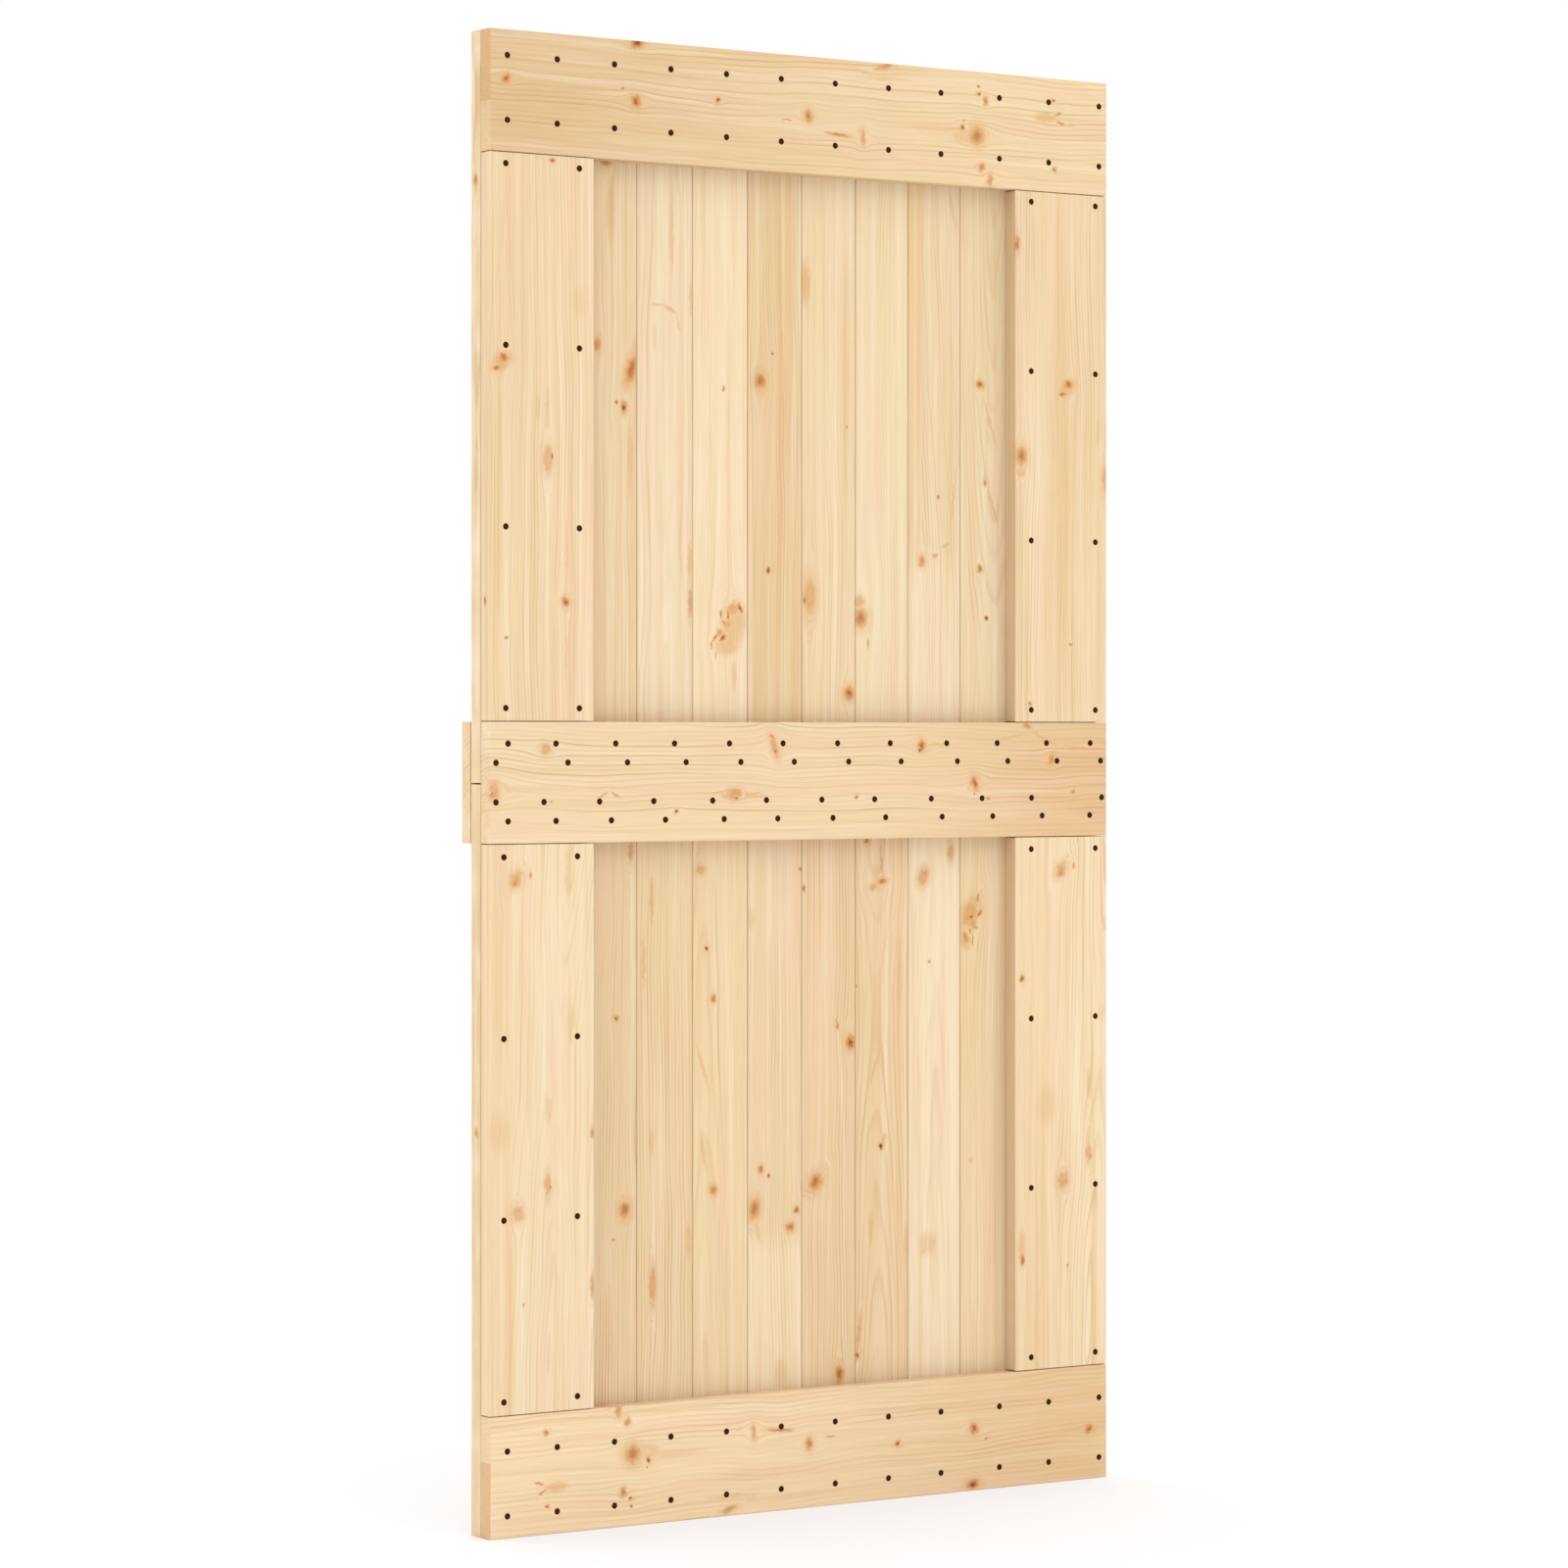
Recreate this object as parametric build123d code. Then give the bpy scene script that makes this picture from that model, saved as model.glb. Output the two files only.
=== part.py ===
from build123d import *
import os

# Door leaf of planed pine for hanging on a sliding track: upright boards in two tiers,
# a frame of rails and stiles screwed on the front and one rail across the back.
# Millimetres. X runs along the leaf's width and Z is up. The frame's front face lies on
# y = 0 and the back is towards +Y. The origin is the middle of the top rail's front face,
# where the straps of a pair of hangers bolt on.

# Leaf
leaf_width = 1050
leaf_height = 2050

# Frame members
rail_width = 166
stile_width = 166
frame_thickness = 25
back_rail_thickness = 25
middle_rail_drop = 1023.5     # leaf top to the centre line of both middle rails
seam_gap = 1                  # open seam between the end of a stile and a rail
edge_ease = 1                 # small bevel along planed edges and sawn ends

# Tongue-and-groove boards
board_cover = 92              # width that each whole board covers
board_thickness = 25
board_shift = 2               # the joints lie this far right of a centred layout
narrowest_edge_board = 50     # the two ripped edge boards are kept wider than this
shoulder_gap = 0.4            # room left between the shoulders of two boards
vee_bevel = 1.5               # bevel of each shoulder, two of them make a V-joint
tongue_length = 8
tongue_thickness = 7
tongue_bevel = 1
tongue_clearance = 0.3        # room round the tongue in its groove
butt_gap = 2                  # open joint between the upper and the lower boards
butt_offset = 1.5             # that joint lies this far below the middle rails' centre line

# Heights
leaf_top = rail_width / 2
leaf_bottom = leaf_top - leaf_height
middle_height = leaf_top - middle_rail_drop
butt_height = middle_height - butt_offset

# Depths
board_front = frame_thickness
board_back = board_front + board_thickness
board_centre = board_front + board_thickness / 2

# Widths
left_edge = -leaf_width / 2
right_edge = leaf_width / 2
whole_boards = int((leaf_width - 2 * narrowest_edge_board) // board_cover)
edge_board_cover = (leaf_width - whole_boards * board_cover) / 2
first_joint = left_edge + edge_board_cover + board_shift
joints = [first_joint + board_cover * index for index in range(whole_boards + 1)]
groove_depth = tongue_length - shoulder_gap + tongue_clearance
groove_thickness = tongue_thickness + 2 * tongue_clearance


def frame_bar(left, right, bottom, top, front, thickness):
    # Planed bar with all its edges eased
    bar = Box(right - left, thickness, top - bottom)
    bar = chamfer(bar.edges(), edge_ease)
    return Pos((left + right) / 2, front + thickness / 2, (bottom + top) / 2) * bar


def full_width_rail(centre_height, front, thickness):
    half_width = rail_width / 2
    bottom = centre_height - half_width
    top = centre_height + half_width
    return frame_bar(left_edge, right_edge, bottom, top, front, thickness)


def stile(left, rail_below, rail_above):
    # Upright that stands between the facing edges of two rails, clear of both by the seam
    bottom = rail_below + rail_width / 2 + seam_gap
    top = rail_above - rail_width / 2 - seam_gap
    return frame_bar(left, left + stile_width, bottom, top, 0, frame_thickness)


def board_section(left, right, left_bevel, right_bevel):
    # Plan of the plain board, with bevelled arrises on its front and back
    outline = Rectangle(right - left, board_thickness)
    outline = chamfer(outline.vertices().group_by(Axis.X)[0], left_bevel)
    outline = chamfer(outline.vertices().group_by(Axis.X)[-1], right_bevel)
    return Pos((left + right) / 2, board_centre) * outline


def tongue_section(shoulder):
    tongue = Rectangle(tongue_length, tongue_thickness)
    tongue = chamfer(tongue.vertices().group_by(Axis.X)[-1], tongue_bevel)
    return Pos(shoulder + tongue_length / 2, board_centre) * tongue


def groove_section(shoulder):
    return Pos(shoulder + groove_depth / 2, board_centre) * Rectangle(groove_depth, groove_thickness)


def board_plans():
    # One plan for each board from left to right. The first and last are ripped to width,
    # so their outer edges are plain
    edges = [left_edge] + joints + [right_edge]
    plans = []
    for index in range(len(edges) - 1):
        is_first = index == 0
        is_last = index == len(edges) - 2
        left = edges[index] if is_first else edges[index] + shoulder_gap / 2
        right = edges[index + 1] if is_last else edges[index + 1] - shoulder_gap / 2
        left_bevel = edge_ease if is_first else vee_bevel
        right_bevel = edge_ease if is_last else vee_bevel
        plan = board_section(left, right, left_bevel, right_bevel)
        if not is_last:
            plan += tongue_section(right)
        if not is_first:
            plan -= groove_section(left)
        plans.append(plan)
    return plans


def board_tier(tier, bottom, top):
    # Boards of one tier, carried up from their plans
    tier_boards = {}
    for number, plan in enumerate(board_plans(), start=1):
        board = extrude(Pos(0, 0, bottom) * plan, amount=top - bottom, dir=(0, 0, 1))
        tier_boards[f"{tier}_board_{number:02d}"] = board
    return tier_boards


top_rail_height = leaf_top - rail_width / 2
bottom_rail_height = leaf_bottom + rail_width / 2
right_stile_edge = right_edge - stile_width

pieces = {
    "top_rail": full_width_rail(top_rail_height, 0, frame_thickness),
    "middle_rail_front": full_width_rail(middle_height, 0, frame_thickness),
    "bottom_rail": full_width_rail(bottom_rail_height, 0, frame_thickness),
    "middle_rail_back": full_width_rail(middle_height, board_back, back_rail_thickness),
    "upper_left_stile": stile(left_edge, middle_height, top_rail_height),
    "upper_right_stile": stile(right_stile_edge, middle_height, top_rail_height),
    "lower_left_stile": stile(left_edge, bottom_rail_height, middle_height),
    "lower_right_stile": stile(right_stile_edge, bottom_rail_height, middle_height),
}
pieces.update(board_tier("upper", butt_height + butt_gap / 2, leaf_top))
pieces.update(board_tier("lower", leaf_bottom, butt_height - butt_gap / 2))

os.makedirs("parts", exist_ok=True)
for name, piece in pieces.items():
    export_step(piece, f"parts/{name}.step")
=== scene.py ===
import math
import bpy
import numpy as np
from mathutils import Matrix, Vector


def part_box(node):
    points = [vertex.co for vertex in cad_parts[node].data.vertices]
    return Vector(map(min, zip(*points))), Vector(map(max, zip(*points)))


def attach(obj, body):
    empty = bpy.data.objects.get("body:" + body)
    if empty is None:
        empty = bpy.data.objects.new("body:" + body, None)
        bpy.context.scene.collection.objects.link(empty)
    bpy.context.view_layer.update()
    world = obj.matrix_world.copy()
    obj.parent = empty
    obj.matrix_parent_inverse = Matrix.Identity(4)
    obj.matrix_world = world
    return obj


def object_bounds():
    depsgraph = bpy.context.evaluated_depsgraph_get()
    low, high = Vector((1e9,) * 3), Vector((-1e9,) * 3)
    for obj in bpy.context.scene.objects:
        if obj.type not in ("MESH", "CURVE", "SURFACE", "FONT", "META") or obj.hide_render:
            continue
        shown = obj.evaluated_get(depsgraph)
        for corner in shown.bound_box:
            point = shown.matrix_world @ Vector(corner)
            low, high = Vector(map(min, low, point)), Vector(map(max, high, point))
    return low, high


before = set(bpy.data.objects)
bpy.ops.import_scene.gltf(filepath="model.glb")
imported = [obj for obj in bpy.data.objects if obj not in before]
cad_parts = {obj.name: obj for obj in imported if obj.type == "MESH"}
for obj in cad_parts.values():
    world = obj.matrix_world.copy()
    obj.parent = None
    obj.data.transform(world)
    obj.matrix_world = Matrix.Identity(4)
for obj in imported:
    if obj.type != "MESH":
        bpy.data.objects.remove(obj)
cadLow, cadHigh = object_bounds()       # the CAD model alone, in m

mm = 0.001
scene = bpy.context.scene
scene.view_settings.view_transform = "Standard"
print("frame loaded:", len(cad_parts), "nodes")


def hexLinear(code):
    # sRGB hex code to linear red, green, blue and full alpha
    srgb = np.array([int(code[i:i + 2], 16) for i in (1, 3, 5)]) / 255
    linear = np.where(srgb <= 0.04045, srgb / 12.92, ((srgb + 0.055) / 1.055) ** 2.4)
    return (*linear.tolist(), 1.0)


def addNode(tree, kind, inputs=None, **settings):
    # new node with its settings; an input takes a value, a socket or a node (its first output)
    node = tree.nodes.new(kind)
    for key, value in settings.items():
        setattr(node, key, value)
    for key, value in (inputs or {}).items():
        if isinstance(value, bpy.types.Node):
            value = value.outputs[0]
        if isinstance(value, bpy.types.NodeSocket):
            tree.links.new(value, node.inputs[key])
        else:
            node.inputs[key].default_value = value
    return node


def newGroup(name, inputs, outputs):
    # empty shader group with float sockets; an input named Place is a vector
    tree = bpy.data.node_groups.new(name, "ShaderNodeTree")
    for socket in inputs:
        kind = "NodeSocketVector" if socket == "Place" else "NodeSocketFloat"
        tree.interface.new_socket(socket, in_out="INPUT", socket_type=kind)
    for socket in outputs:
        tree.interface.new_socket(socket, in_out="OUTPUT", socket_type="NodeSocketFloat")
    return tree


def emptyMaterial(name):
    material = bpy.data.materials.new(name)
    material.use_nodes = True
    material.node_tree.nodes.clear()
    return material


# Knots in the pine

knotShape = {
    "flow": 0.45,              # the grain flows as if round a knot about twice as long
    "rings": 2,                # rings of the knot itself
    "ringDepth": 0.12,
    # knot radii where each zone ends and where it is full
    "zones": {"Heart": (0.75, 0.2), "Body": (1.2, 0.65), "Stain": (2.4, 0.7)},
}


def makeKnotGroup():
    # One knot. Place is measured in knot radii, so its length r is 1 on the rim.
    # Grain flows round it like water round a post: shift = x * half / max(r squared, 1), with the
    # knot drawn longer for the flow. Heart, body and stain fade out with smooth steps of r,
    # and the body has its own rings, cos(2 pi rings r).
    tree = newGroup(
        "pineKnot",
        ("Place", "Half", "Dark", "Fill", "Glow", "Bow", "Heart", "Body", "Stain"),
        ("Bow", "Heart", "Body", "Stain"),
    )
    given = addNode(tree, "NodeGroupInput").outputs
    place = given["Place"]
    sides = addNode(tree, "ShaderNodeSeparateXYZ", {0: place}).outputs
    distance = addNode(tree, "ShaderNodeVectorMath", {0: place}, operation="LENGTH").outputs["Value"]
    stretched = {0: place, 1: (1, knotShape["flow"], 0)}
    stretched = addNode(tree, "ShaderNodeVectorMath", stretched, operation="MULTIPLY")
    square = {0: stretched, 1: stretched}
    square = addNode(tree, "ShaderNodeVectorMath", square, operation="DOT_PRODUCT").outputs["Value"]
    push = addNode(tree, "ShaderNodeMath", {0: square, 1: 1.0}, operation="MAXIMUM")
    push = addNode(tree, "ShaderNodeMath", {0: sides["X"], 1: push}, operation="DIVIDE")
    bow = {0: push, 1: given["Half"], 2: given["Bow"]}
    ends = {"Bow": addNode(tree, "ShaderNodeMath", bow, operation="MULTIPLY_ADD")}
    turns = {0: distance, 1: 2 * math.pi * knotShape["rings"]}
    turns = addNode(tree, "ShaderNodeMath", turns, operation="MULTIPLY")
    ringed = addNode(tree, "ShaderNodeMath", {0: turns}, operation="COSINE")
    ringed = {0: ringed, 1: knotShape["ringDepth"], 2: 1 - knotShape["ringDepth"]}
    ringed = addNode(tree, "ShaderNodeMath", ringed, operation="MULTIPLY_ADD")
    fill = addNode(tree, "ShaderNodeMath", {0: ringed, 1: given["Fill"]}, operation="MULTIPLY")
    amounts = {"Heart": given["Dark"], "Body": fill, "Stain": given["Glow"]}
    for name, (rim, full) in knotShape["zones"].items():
        inside = {0: distance, 1: rim, 2: full}
        inside = addNode(tree, "ShaderNodeMapRange", inside, interpolation_type="SMOOTHSTEP")
        part = addNode(tree, "ShaderNodeMath", {0: inside, 1: amounts[name]}, operation="MULTIPLY")
        ends[name] = addNode(tree, "ShaderNodeMath", {0: part, 1: given[name]}, operation="MAXIMUM")
    addNode(tree, "NodeGroupOutput", ends)
    return tree


# Year rings and fibres of the pine

woodNoise = {                           # mm across the grain, mm along it, a shift of its own, detail
    "fibre": (1.6, 60.0, 2.2, 2),       # coarser than real fibres so that it shows
    "streak": (9.0, 600.0, 7.4, 3),
    "blush": (30, 420, 11.8, 1),        # wide rosy and sallow patches
    "ripple": (40, 150, 9.1, 1),        # small waves of the rings
    "fading": (60, 260, 3.9, 1),        # places where the lines grow faint
}
yearRing = {
    "slope": (0.3, 0.9, 0.28),          # share of a ring where slow darkening starts and ends, and its height
    "climb": (0.52, 0.84, 0.72),        # the same for the steep part
    "fall": (1.0, 0.88),                # edge of the dark line towards the next ring
    "faintest": 0.2,                    # strength of the faintest ring
    "fading": (0.35, 0.6, 0.25),        # noise where lines are faint and whole, and a faint one's strength
    "wander": (330, 1.3, 34),           # waves of the pith across the face: mm along, shift, mm in size
    "wanderDeep": (380, 55.7, 18),      # and towards the face
    "rippleSize": 14.0,                 # mm
    "blunt": 60.0,                      # mm, how round the tip of an arch is
    "seedDepth": 970.0,                 # mm between the noise of two pieces
    "seedRings": 37.0,                  # rings between the strengths of two pieces
}


def makeFigureGroup():
    # Year rings of a tree cut by the board's faces. The ring radius is the distance to a wandering pith,
    # sqrt(across squared + depth squared) plus a taper along the trunk. The pith lies Cut mm behind the face
    # at the crest and Dive nearer to it for each mm along, which opens the rings into cathedral arches.
    # The fraction of radius / ring width climbs slowly through the pale early wood to a thin dark line.
    tree = newGroup(
        "pineFigure",
        ("Across", "Along", "Depth", "Pith", "Lean", "Cut", "Crest", "Dive", "Ring", "Taper", "Sway", "Seed"),
        ("Late", "Fibre", "Streak", "Blush"),
    )
    given = addNode(tree, "NodeGroupInput").outputs
    seeded = {0: given["Seed"], 1: yearRing["seedDepth"], 2: given["Depth"]}
    seeded = addNode(tree, "ShaderNodeMath", seeded, operation="MULTIPLY_ADD")
    grain = addNode(tree, "ShaderNodeCombineXYZ", {0: given["Across"], 1: given["Along"], 2: seeded})

    def grainPattern(name):
        # noise drawn out along the grain
        width, length, shift, detail = woodNoise[name]
        scaled = {0: grain, 1: (1 / width, 1 / length, 1 / width), 2: (shift, shift, shift)}
        scaled = addNode(tree, "ShaderNodeVectorMath", scaled, operation="MULTIPLY_ADD")
        return addNode(tree, "ShaderNodeTexNoise", {"Vector": scaled, "Scale": 1.0, "Detail": detail})

    def wave(length, shift, size):
        # slow noise along the trunk, from minus to plus half of the size in mm
        along = {0: given["Along"], 1: 1 / length, 2: given["Seed"]}
        along = addNode(tree, "ShaderNodeMath", along, operation="MULTIPLY_ADD")
        along = addNode(tree, "ShaderNodeMath", {0: along, 1: shift}, operation="ADD")
        slow = {"W": along, "Scale": 1.0, "Detail": 1.0}
        slow = addNode(tree, "ShaderNodeTexNoise", slow, noise_dimensions="1D")
        slow = addNode(tree, "ShaderNodeMath", {0: slow, 1: size, 2: -size / 2}, operation="MULTIPLY_ADD")
        return addNode(tree, "ShaderNodeMath", {0: slow, 1: given["Sway"]}, operation="MULTIPLY")

    # distance to the pith
    across = addNode(tree, "ShaderNodeMath", {0: given["Across"], 1: given["Pith"]}, operation="SUBTRACT")
    across = addNode(tree, "ShaderNodeMath", {0: across, 1: wave(*yearRing["wander"])}, operation="ADD")
    fromCrest = addNode(tree, "ShaderNodeMath", {0: given["Along"], 1: given["Crest"]}, operation="SUBTRACT")
    lean = addNode(tree, "ShaderNodeMath", {0: fromCrest, 1: given["Lean"]}, operation="MULTIPLY")
    across = addNode(tree, "ShaderNodeMath", {0: across, 1: lean}, operation="SUBTRACT")
    fromCrest = addNode(tree, "ShaderNodeCombineXYZ", {0: fromCrest, 1: yearRing["blunt"]})
    fromCrest = addNode(tree, "ShaderNodeVectorMath", {0: fromCrest}, operation="LENGTH").outputs["Value"]
    rise = addNode(tree, "ShaderNodeMath", {0: fromCrest, 1: given["Dive"]}, operation="MULTIPLY")
    depth = addNode(tree, "ShaderNodeMath", {0: given["Depth"], 1: given["Cut"]}, operation="ADD")
    depth = addNode(tree, "ShaderNodeMath", {0: depth, 1: rise}, operation="SUBTRACT")
    depth = addNode(tree, "ShaderNodeMath", {0: depth, 1: wave(*yearRing["wanderDeep"])}, operation="ADD")
    section = addNode(tree, "ShaderNodeCombineXYZ", {0: across, 1: depth})
    radius = addNode(tree, "ShaderNodeVectorMath", {0: section}, operation="LENGTH").outputs["Value"]
    radius = {0: given["Along"], 1: given["Taper"], 2: radius}
    radius = addNode(tree, "ShaderNodeMath", radius, operation="MULTIPLY_ADD")
    ripple = {0: grainPattern("ripple"), 1: yearRing["rippleSize"]}
    ripple = addNode(tree, "ShaderNodeMath", ripple, operation="MULTIPLY")
    radius = {0: ripple, 1: given["Sway"], 2: radius}
    radius = addNode(tree, "ShaderNodeMath", radius, operation="MULTIPLY_ADD")

    # place in the ring and the ring's own strength
    rings = addNode(tree, "ShaderNodeMath", {0: radius, 1: given["Ring"]}, operation="DIVIDE")
    share = addNode(tree, "ShaderNodeMath", {0: rings}, operation="FRACT")
    number = addNode(tree, "ShaderNodeMath", {0: rings}, operation="FLOOR")
    number = {0: given["Seed"], 1: yearRing["seedRings"], 2: number}
    number = addNode(tree, "ShaderNodeMath", number, operation="MULTIPLY_ADD")
    chance = addNode(tree, "ShaderNodeTexWhiteNoise", {"W": number}, noise_dimensions="1D").outputs["Value"]
    start, end, most = yearRing["slope"]
    slope = addNode(tree, "ShaderNodeMapRange", {0: share, 1: start, 2: end, 4: most})
    start, end, most = yearRing["climb"]
    climb = {0: share, 1: start, 2: end, 4: most}
    climb = addNode(tree, "ShaderNodeMapRange", climb, interpolation_type="SMOOTHSTEP")
    late = addNode(tree, "ShaderNodeMath", {0: slope, 1: climb}, operation="ADD")
    start, end = yearRing["fall"]
    fall = {0: share, 1: start, 2: end}
    strength = {0: chance, 3: yearRing["faintest"], 4: 1.0}
    for factor in (fall, strength):
        factor = addNode(tree, "ShaderNodeMapRange", factor, interpolation_type="SMOOTHSTEP")
        late = addNode(tree, "ShaderNodeMath", {0: late, 1: factor}, operation="MULTIPLY")
    faint, whole, least = yearRing["fading"]
    clear = {0: grainPattern("fading"), 1: faint, 2: whole, 3: least, 4: 1.0}
    clear = addNode(tree, "ShaderNodeMapRange", clear)
    late = addNode(tree, "ShaderNodeMath", {0: late, 1: clear}, operation="MULTIPLY")
    ends = {"Late": late}
    for name in ("fibre", "streak", "blush"):
        ends[name.title()] = grainPattern(name)
    addNode(tree, "NodeGroupOutput", ends)
    return tree


knotGroup = makeKnotGroup()
figureGroup = makeFigureGroup()


# Planed pine

pine = {
    "cream": "#fdf1d8",         # palest sapwood streaks
    "tan": "#e6c28e",           # warm heartwood streaks
    "pink": "#f3cfac",          # rosy patches
    "olive": "#ecd7a6",         # sallow patches
    "lateWood": "#c28a48",      # thin dark edge of each year ring
    "halo": "#dea158",          # resin-stained wood round a knot
    "knot": "#cf8637",
    "knotRed": "#ca7038",
    "knotCore": "#a4540e",
    "bark": "#4e2d10",
    "seam": "#a97c4c",          # painted shade on the frame's side next to the boards, where the gap between the layers lies in shade
    "bounce": "#c4aa89",        # light passed from wood to wood, so that corners shade deep and warm
    # noise or knot level where a tint starts and is full, and its share there, or the wood's own value for it
    "ramps": {"cream": (0.52, 0.8, "pale"), "tan": (0.48, 0.2, "warm"), "pink": (0.52, 0.75, 0.5),
              "olive": (0.48, 0.25, 0.4), "knotCore": (0.1, 0.75, 0.85), "bark": (0.5, 1.0, 0.9)},
    "haloShare": 0.55, "knotShare": 0.9,
    "knotFill": 0.4,            # share of the knot's colour that the palest knot has
    "redden": (-0.1, 0.15),     # noise levels between which a knot's colour turns red
    "glueJump": 83.0,           # mm, how far the figure jumps at a glued joint
    "ragSize": 9, "ragged": (6, 8, 0),          # mm, waves in the rim of a knot and how far they stray
    "seamReach": 5.0, "seamShare": 0.8,         # mm of painted shade on the frame next to the boards, and its share
    "sawnDepth": 1.4,           # mm from the leaf's sides that count as a sawn edge or end
    "sawnThick": 40,            # mm through the leaf, size of the patches on a sawn side
    # noise where a patch starts and is full, and its share
    "sawnPale": (0.5, 0.68, 0.35), "sawnWarm": (0.52, 0.3, 0.5),
    "endShares": (0.7, 0.5),    # how much the upper and lower part of a rail's end are tinted
    "fibreShade": 0.035,        # fibres are this much darker or paler
    "fibreLevels": (0.3, 0.7),  # noise of the darkest and palest fibres
    "roughness": 0.58, "roughnessSpread": 0.06,
    "reliefDepth": 0.25,        # mm
    "reliefStrength": 0.3,
    "seeds": (3.0, 1.7),        # first seed and step to the next piece
}


def leafPlace(tree, wood):
    # Place on the leaf: mm from its left and top, then across and along the grain
    spot = addNode(tree, "ShaderNodeTexCoord").outputs["Object"]
    turn = wood.get("turn", 1)
    left, top = wood.get("origin", (0, 0))
    toLeaf = {
        "Vector": spot,
        "Location": (turn * (-cadLow.x / mm - left), 0, turn * (cadHigh.z / mm - top)),
        "Scale": (turn / mm, 1 / mm, -turn / mm),
    }
    leaf = addNode(tree, "ShaderNodeMapping", toLeaf, vector_type="POINT")
    axes = addNode(tree, "ShaderNodeSeparateXYZ", {0: leaf}).outputs
    behind = addNode(tree, "ShaderNodeMath", {0: axes["Y"], 1: wood["front"]}, operation="SUBTRACT")
    wrapped = {0: axes["X"], 1: behind}         # the figure goes on round the edge
    fromLeft = addNode(tree, "ShaderNodeMath", wrapped, operation="SUBTRACT")
    across, along = (fromLeft, axes["Z"]) if wood["grain"] == "upright" else (axes["Z"], fromLeft)
    plane = addNode(tree, "ShaderNodeCombineXYZ", {0: across, 1: along})
    return {"spot": spot, "leaf": leaf, "depth": axes["Y"], "behind": behind,
            "across": across, "along": along, "plane": plane}


def layKnots(tree, wood, place):
    # The wood's knots, with rims made ragged by noise, each handing on what the ones before it made.
    # A knot is (from left, from top, width, height, darkness, stain, tilt) in mm and degrees; darkness 0
    # is a soft stain alone.
    upright = wood["grain"] == "upright"
    stainRim = knotShape["zones"]["Stain"][0]
    rag = {"Vector": place["plane"], "Scale": 1 / pine["ragSize"], "Detail": 2}
    rag = addNode(tree, "ShaderNodeTexNoise", rag, noise_dimensions="2D").outputs["Color"]
    rag = addNode(tree, "ShaderNodeVectorMath", {0: rag, 1: (0.5, 0.5, 0.5)}, operation="SUBTRACT")
    ragged = {0: rag, 1: pine["ragged"], 2: place["plane"]}
    ragged = addNode(tree, "ShaderNodeVectorMath", ragged, operation="MULTIPLY_ADD")
    knots = {"Bow": 0.0, "Heart": 0.0, "Body": 0.0, "Stain": 0.0}
    for u, v, width, height, dark, stain, tilt in wood["knots"]:
        centre = (u, v, 0) if upright else (v, u, 0)
        half = np.array((width, height) if upright else (height, width)) / 2
        reach = half if dark else half / stainRim
        angle = math.radians(tilt if upright else -tilt)
        seat = {"Vector": ragged, "Location": centre, "Rotation": (0, 0, angle), "Scale": (*reach, 1)}
        seat = addNode(tree, "ShaderNodeMapping", seat, vector_type="TEXTURE")
        sizes = {"Place": seat, "Half": half[0] if dark else 0, "Dark": dark, "Glow": stain}
        sizes["Fill"] = pine["knotFill"] + (1 - pine["knotFill"]) * dark if dark else 0
        knot = addNode(tree, "ShaderNodeGroup", sizes | knots, node_tree=knotGroup)
        knots = {key: knot.outputs[key] for key in knots}
    return rag, knots


def faceTone(tree, wood, place, bow):
    # Tone of the face, place across the grain bent round the knots, and strength of the year lines.
    # A strip is (edge, tone, lines): other wood glued on left of or above that edge. A fade is
    # (from, to, tone): the face turns to that tone along the grain.
    colour = hexLinear(wood["tone"])
    bent = addNode(tree, "ShaderNodeMath", {0: place["across"], 1: bow}, operation="SUBTRACT")
    drawn = wood["lines"]
    for edge, tone, lines in wood.get("strips", []):
        before = addNode(tree, "ShaderNodeMath", {0: place["across"], 1: edge}, operation="LESS_THAN")
        colour = {0: before, 6: colour, 7: hexLinear(tone)}
        colour = addNode(tree, "ShaderNodeMix", colour, data_type="RGBA").outputs[2]
        bent = {0: before, 1: -pine["glueJump"], 2: bent}
        bent = addNode(tree, "ShaderNodeMath", bent, operation="MULTIPLY_ADD")
        drawn = addNode(tree, "ShaderNodeMapRange", {0: before, 3: drawn, 4: lines})
    if "fade" in wood:
        first, last, tone = wood["fade"]
        faded = {0: place["along"], 1: last, 2: first}
        faded = addNode(tree, "ShaderNodeMapRange", faded, interpolation_type="SMOOTHSTEP")
        colour = {0: faded, 6: colour, 7: hexLinear(tone)}
        colour = addNode(tree, "ShaderNodeMix", colour, data_type="RGBA").outputs[2]
    return colour, bent, drawn


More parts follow.
